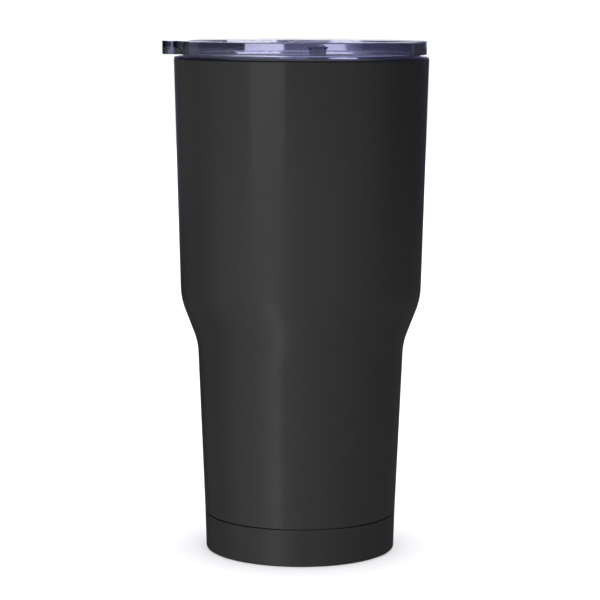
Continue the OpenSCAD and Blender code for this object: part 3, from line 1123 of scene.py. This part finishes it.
@dataclass
class Slider:
    """The sliding closure: a plate with a ribbed thumb ridge, a silicone pad, and a keeper."""

    lid: Lid
    finishes: Finishes
    plate_h: float = 2.4
    ridge_x: tuple[float, float] = (2.0, 10.6)
    ridge_w: float = 15.0
    rib_r: float = 0.6
    rib_step: float = 2.3
    flute: tuple[float, float] = (2.6, 1.5)  # radius of each side flute, and how far out its axis stands
    leg: tuple[float, float] = (2.4, 3.9)
    hook: float = 0.6
    hook_h: float = 0.65
    rib_half: float = 6.0
    plate_corner: float = 5.0
    ridge_corner: float = 2.5
    pad_corner: float = 4.0
    keeper_corner: float = 2.0
    pad_play: float = 0.05  # round the pad in its recess, and above it

    def __post_init__(self) -> None:
        """Reads the plate's, pad's and keeper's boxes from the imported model."""
        self.low, self.high = box_mm("slider")
        self.pad_low, self.pad_high = box_mm("slider_seal")
        self.keeper_low, self.keeper_high = box_mm("slider_retainer")
        self.plate_z = self.lid.deck_z + self.lid.slip
        self.plate_top = self.plate_z + self.plate_h

    def plate(self) -> Piece:
        """Flat plate with rounded corners and edges."""
        middle, size = plan_of(self.low, self.high)
        outline = rounded_rectangle(middle, size, self.plate_corner, 12)
        return slab("slide_plate", outline, edge_side(self.plate_z, self.plate_top, 0.3, 0.7, 5))

    def ridge(self) -> Piece:
        """Thumb ridge: a round-cornered block with a flute along each side, so that it has a waist."""
        top = float(self.high[2]) - self.rib_r
        middle = (sum(self.ridge_x) / 2, 0.0)
        size = (self.ridge_x[1] - self.ridge_x[0], self.ridge_w)
        outline = rounded_rectangle(middle, size, self.ridge_corner, 10)
        side = np.concatenate([[[0.0, self.plate_top - 0.3]], arc((-0.4, top - 0.4), 0.4, 0, 90, 4)])
        piece = slab("thumb_ridge", outline, side)
        radius, out = self.flute
        level = (self.plate_top + top) / 2
        for x in (self.ridge_x[0] - out, self.ridge_x[1] + out):
            combine(piece, self.bar(x, level, radius, self.ridge_w / 2 + 0.5), Join.CUT)
        return piece

    def bar(self, x: float, z: float, radius: float, half: float) -> Piece:
        """A round bar along y: a circle carried along the axis, shrunk by a quarter-circle at each end.

        Args:
            x: Where the bar crosses the slider's length.
            z: Height of its axis.
            radius: Its radius.
            half: Half its length.

        Returns:
            The bar.
        """
        dome = min(0.5 * radius, 0.5)
        near_end = arc((half - dome, -dome), dome, 0, 90, 5)
        far_end = arc((dome - half, -dome), dome, 90, 180, 5)
        ends = np.concatenate([near_end, far_end])
        girth = radius + ends[:, 1:]
        turn = np.linspace(0, 2 * math.pi, BAR_ROUND, endpoint=False)
        grid = np.stack(
            [
                x + girth * np.cos(turn),
                np.broadcast_to(ends[:, :1], (len(ends), BAR_ROUND)),
                z + girth * np.sin(turn),
            ],
            axis=-1,
        )
        return make_piece("bar", *skin(grid, cap_ends=True))

    def legs(self) -> list[Piece]:
        """The two snap legs and their hooks, below the plate."""
        made = []
        leg_l, leg_w = self.leg
        low = float(self.low[2])
        leg_side = edge_side(low, self.plate_z + 0.4, 0.15, 0.01, 2)
        hook_side = edge_side(low, low + self.hook_h, 0.25, 0.1, 2)
        for way in (-1, 1):
            for name, reach, side in (("leg", 0.0, leg_side), ("hook", self.hook, hook_side)):
                middle = way * (self.lid.legs_l / 2 + (reach - leg_l) / 2)
                outline = rounded_rectangle((middle, 0), (leg_l + reach, leg_w), 0.25, 3)
                made.append(slab(name, outline, side))
        return made

    def build_slide(self) -> Piece:
        """The moulded slider: plate, ridge, ribs and legs joined, with the pad's recess cut below."""
        piece = self.plate()
        combine(piece, self.ridge(), Join.ADD)
        for step in (-1, 0, 1):
            x = sum(self.ridge_x) / 2 + step * self.rib_step
            rib = self.bar(x, float(self.high[2]) - self.rib_r, self.rib_r, self.rib_half)
            combine(piece, rib, Join.ADD)
        for leg in self.legs():
            combine(piece, leg, Join.ADD)
        middle, (length, width) = plan_of(self.pad_low, self.pad_high)
        size = (length + 2 * self.pad_play, width + 2 * self.pad_play)
        recess = slab(
            "recess",
            rounded_rectangle(middle, size, self.pad_corner + self.pad_play, 10),
            np.array([[0.0, self.plate_z - 1], [0.0, float(self.pad_high[2]) + self.pad_play]]),
        )
        combine(piece, recess, Join.CUT)
        tidy_mesh(piece)
        return piece

    def build_pad(self) -> Piece:
        """Silicone pad with soft edges, let into the plate."""
        middle, size = plan_of(self.pad_low, self.pad_high)
        side = edge_side(float(self.pad_low[2]), float(self.pad_high[2]), 0.3, 0.1)
        return slab("slide_pad", rounded_rectangle(middle, size, self.pad_corner, 12), side)

    def build_keeper(self) -> Piece:
        """Keeper: a small plate with a window for the legs."""
        low, high = self.keeper_low, self.keeper_high
        middle, size = plan_of(low, high)
        side = edge_side(float(low[2]), float(high[2]), 0.3, 0.3, 3)
        piece = slab("slide_keeper", rounded_rectangle(middle, size, self.keeper_corner, 8), side)
        window = slab(
            "window",
            rounded_rectangle(middle, (self.lid.legs_l + 0.1, self.leg[1] + 0.1), 0.2, 3),
            flared_side(float(low[2]), float(high[2]), 0.1),
        )
        combine(piece, window, Join.CUT)
        tidy_mesh(piece)
        return piece

    def build(self) -> None:
        """Builds and dresses the closure."""
        dress(self.build_slide(), "slider", "slider_plastic", ["slider"], self.finishes.clear)
        dress(self.build_pad(), "slider", "silicone", ["slider_seal"], self.finishes.silicone)
        dress(self.build_keeper(), "slider", "slider_plastic", ["slider_retainer"], self.finishes.clear)


# ---------- studio ----------


@dataclass(frozen=True)
class Panels:
    """Brightness round the cup at one elevation.

    Each glow is (azimuth, radiance), or (azimuth, radiance, radiance of the blue part) where the panel is
    cool. Azimuth 0 is towards the camera, or straight behind for the panels there, and positive is to the
    camera's right. The glows fill the span to either side of 0.
    """

    elevation: float
    glows: tuple[tuple[float, ...], ...]
    span: float = 180.0


ROOM_PANELS = Panels(
    -1.07,
    (
        (-180, 0.62, 0.72), (-172, 0.62, 0.72), (-168, 0.3, 0.4), (-160, 0.1, 0.16), (-140, 0.06),
        (-60, 0.08), (60, 0.08), (140, 0.06), (160, 0.1, 0.16), (166, 0.4, 0.5), (172, 0.62, 0.72),
        (180, 0.62, 0.72),
    ),
)
BEHIND_PANELS = Panels(
    -1.12,
    (
        (-20, 0.12, 0.24), (-15, 0.12, 0.24), (-13.6, 0.03, 0.07), (-3.9, 0.03, 0.07), (-3.75, 1.3, 1.35),
        (-1.1, 1.5, 1.55), (-1.0, 0.17, 0.27), (1.2, 0.2, 0.3), (1.35, 1.3, 1.4), (2.7, 1.3, 1.4),
        (3.0, 0.35, 0.5), (4.5, 0.08, 0.16), (14, 0.05, 0.1), (20, 0.04, 0.08),
    ),
    20.0,
)
LEVEL_PANELS = Panels(
    -5.0,
    (
        (-180, 0.12, 0.24), (-150, 0.08), (-110, 0.33), (-75, 0.72), (-47, 0.83), (-46, 1.3), (-15, 1.3),
        (-14, 0.73), (0, 0.67), (50, 0.52), (95, 0.18), (130, 0.07), (180, 0.04, 0.08),
    ),
)
HIGH_PANELS = Panels(
    6.0,
    (
        (-20, 0.2, 0.4), (-3.9, 0.25, 0.45), (-3.75, 1.3, 1.35), (-1.1, 1.4, 1.45), (-1.0, 0.35, 0.6),
        (3.0, 0.35, 0.6), (20, 0.2, 0.4),
    ),
    20.0,
)
BODY_PANELS = Panels(
    -8.0,
    (
        (-180, 0.02), (-150, 0.05), (-110, 0.27), (-80, 0.7), (-40, 1.1), (-20, 1.05), (-10, 0.9), (0, 0.82),
        (30, 0.71), (60, 0.51), (95, 0.24), (130, 0.1), (180, 0.02),
    ),
)
LOW_PANELS = Panels(
    -15.0,
    (
        (-180, 0.02), (-150, 0.07), (-110, 0.3), (-80, 0.67), (-45, 1.0), (-30, 1.32), (-25, 1.3),
        (-18, 0.93), (0, 0.78), (40, 0.6), (80, 0.38), (130, 0.12), (180, 0.02),
    ),
)


@dataclass
class Studio:
    """Plain pale floor, soft overhead light, graded panels round the cup, and the camera.

    A pair of elevations, in degrees, says where one light starts to give way to the next and where it is
    gone. behind_edge is a pair of azimuths from straight behind.
    """

    camera_x: float = -0.7
    camera_y: float = -897.0
    camera_z: float = 219.6
    pitch: float = 7.538
    roll: float = -0.2
    lens: float = 134.4
    floor_r: float = 2600.0
    floor_colour: str = "#f4f4f4"
    room_colour: str = "#3c3e58"
    top_radiance: float = 1.6
    backdrop: float = 1.0
    sun: float = 3.3
    sun_width: float = 100.0
    behind_edge: tuple[float, float] = (18.0, 20.0)
    room_fade: tuple[float, float] = (0.2, 1.0)
    high_start: float = 2.0
    high_fade: tuple[float, float] = (30.0, 45.0)
    top_fade: tuple[float, float] = (48.0, 62.0)

    def build_camera(self) -> None:
        """Puts the camera in front of the cup, level with its lid, looking a little down."""
        data = bpy.data.cameras.new("camera")
        data.lens = self.lens
        data.sensor_width = 36.0
        data.clip_start = 0.05
        data.clip_end = 100.0
        camera = bpy.data.objects.new("camera", data)
        camera.location = (self.camera_x * MM, self.camera_y * MM, self.camera_z * MM)
        camera.rotation_euler = (math.radians(90 - self.pitch), math.radians(self.roll), 0.0)
        bpy.context.scene.collection.objects.link(camera)
        bpy.context.scene.camera = camera

    def build_floor(self) -> None:
        """A wide pale floor, which the cup's gloss doesn't mirror."""
        corners = 64
        turn = np.linspace(0, 2 * math.pi, corners, endpoint=False)
        rim = self.floor_r * np.column_stack([np.cos(turn), np.sin(turn), np.zeros(corners)])
        mesh = bpy.data.meshes.new("floor")
        mesh.from_pydata((rim * MM).tolist(), [], [list(range(corners))])
        floor = bpy.data.objects.new("floor", mesh)
        bpy.context.scene.collection.objects.link(floor)
        floor.data.materials.append(Finish("matt pale paper", self.floor_colour, 0.9).make())
        floor.visible_glossy = False

    def build_sun(self) -> None:
        """A very wide, soft overhead light, mostly for the floor, that gloss and clear plastic don't show."""
        data = bpy.data.lights.new("overhead", "SUN")
        data.energy = self.sun
        data.angle = math.radians(self.sun_width)
        sun = bpy.data.objects.new("overhead", data)
        sun.visible_glossy = False
        sun.visible_transmission = False
        bpy.context.scene.collection.objects.link(sun)

    @staticmethod
    def graded(tree: Tree, turn: Socket, panels: Panels) -> Socket:
        """Brightness by azimuth at one elevation.

        Args:
            tree: The world's node tree.
            turn: Azimuth, in radians.
            panels: The brightness table.

        Returns:
            The socket that gives the brightness as a colour.
        """
        span = math.radians(panels.span)
        share = add_node(tree, "MapRange", {"From Min": -span, "From Max": span}, {"Value": turn})
        made = add_node(tree, "ValToRGB", links={"Fac": share.outputs["Result"]})
        ramp = made.color_ramp
        while len(ramp.elements) < len(panels.glows):
            ramp.elements.new(0.5)
        for stop, (azimuth, radiance, *blue) in zip(ramp.elements, panels.glows):
            stop.position = 0.5 + 0.5 * azimuth / panels.span
            stop.color = (radiance, radiance, blue[0] if blue else radiance, 1.0)
        return made.outputs["Color"]

    def build_world(self) -> None:
        """Soft light by direction: graded panels up to the lid's level, a dim room, and a pale ceiling."""
        world = bpy.data.worlds.new("studio")
        world.use_nodes = True
        bpy.context.scene.world = world
        tree = world.node_tree
        tree.nodes.clear()
        way = add_node(tree, "TexCoord").outputs["Generated"]
        split = add_node(tree, "SeparateXYZ", links={"Vector": way})
        right, away, rise = split.outputs["X"], split.outputs["Y"], split.outputs["Z"]
        near = add_node(tree, "Math", {1: -1.0}, {0: away}, operation="MULTIPLY").outputs[0]
        turn = add_node(tree, "Math", links={0: right, 1: near}, operation="ARCTAN2").outputs[0]
        turn_behind = add_node(tree, "Math", links={0: right, 1: away}, operation="ARCTAN2").outputs[0]
        off = add_node(tree, "Math", links={0: turn_behind}, operation="ABSOLUTE").outputs[0]
        inner, outer = self.behind_edge
        edge = {"From Min": math.radians(outer), "From Max": math.radians(inner)}
        behind_share = add_node(tree, "MapRange", edge, {"Value": off}).outputs["Result"]
        light, body, level, room = (
            self.graded(tree, turn, panels) for panels in (LOW_PANELS, BODY_PANELS, LEVEL_PANELS, ROOM_PANELS)
        )
        behind, high = (self.graded(tree, turn_behind, panels) for panels in (BEHIND_PANELS, HIGH_PANELS))
        dim = add_node(tree, "RGB").outputs[0]
        dim.default_value = linear(self.room_colour)
        level = self.blend(tree, behind_share, level, behind)
        risen = self.between(tree, rise, self.high_start, HIGH_PANELS.elevation)
        high = self.blend(tree, risen, behind, high)
        high = self.blend(tree, behind_share, dim, high)
        changes = (
            (LOW_PANELS.elevation, BODY_PANELS.elevation, body),
            (BODY_PANELS.elevation, LEVEL_PANELS.elevation, level),
            (BEHIND_PANELS.elevation, ROOM_PANELS.elevation, room),
            (*self.room_fade, high),
            (*self.high_fade, dim),
            (*self.top_fade, self.grey(self.top_radiance)),
        )
        for start, stop, other in changes:
            light = self.blend(tree, self.between(tree, rise, start, stop), light, other)
        around = add_node(tree, "Background", links={"Color": light})
        backdrop = add_node(tree, "Background", {"Color": self.grey(self.backdrop)})
        ray = add_node(tree, "LightPath").outputs["Is Camera Ray"]
        mix = add_node(tree, "MixShader", links={0: ray, 1: around.outputs[0], 2: backdrop.outputs[0]})
        add_node(tree, "OutputWorld", links={"Surface": mix.outputs[0]})

    @staticmethod
    def grey(radiance: float) -> Colour:
        """A neutral colour of the given radiance."""
        return (radiance, radiance, radiance, 1.0)

    @staticmethod
    def between(tree: Tree, rise: Socket, low: float, high: float) -> Socket:
        """How far a direction has risen from one elevation to another, eased at both ends.

        Args:
            tree: The world's node tree.
            rise: Sine of the direction's elevation.
            low: Elevation that gives 0, in degrees.
            high: Elevation that gives 1, in degrees.

        Returns:
            The socket that gives 0 to 1.
        """
        limits = {"From Min": math.sin(math.radians(low)), "From Max": math.sin(math.radians(high))}
        eased = add_node(tree, "MapRange", limits, {"Value": rise}, interpolation_type="SMOOTHSTEP")
        return eased.outputs["Result"]

    @staticmethod
    def blend(tree: Tree, share: Socket, first: Socket, second: Socket | Colour) -> Socket:
        """Mixes two light colours.

        Args:
            tree: The world's node tree.
            share: 0 for the first, 1 for the second.
            first: The first colour.
            second: The second colour, as a socket or as a value.

        Returns:
            The socket that gives the mixture.
        """
        fixed = isinstance(second, tuple)
        links = {0: share, 6: first} if fixed else {0: share, 6: first, 7: second}
        return add_node(tree, "Mix", {7: second} if fixed else {}, links, data_type="RGBA").outputs[2]

    def build(self) -> None:
        """Builds the whole studio, with colours shown as they are."""
        bpy.context.scene.view_settings.view_transform = "Standard"
        self.build_camera()
        self.build_floor()
        self.build_sun()
        self.build_world()


def main() -> None:
    """Builds the studio and the tumbler, in order."""
    logging.basicConfig(level=logging.INFO, format="%(name)s: %(message)s")
    Studio().build()
    finishes = Finishes()
    cup = Cup(finishes)
    cup.build()
    lid = Lid(cup, finishes)
    lid.build()
    Slider(lid, finishes).build()


if __name__ == "__main__":
    main()
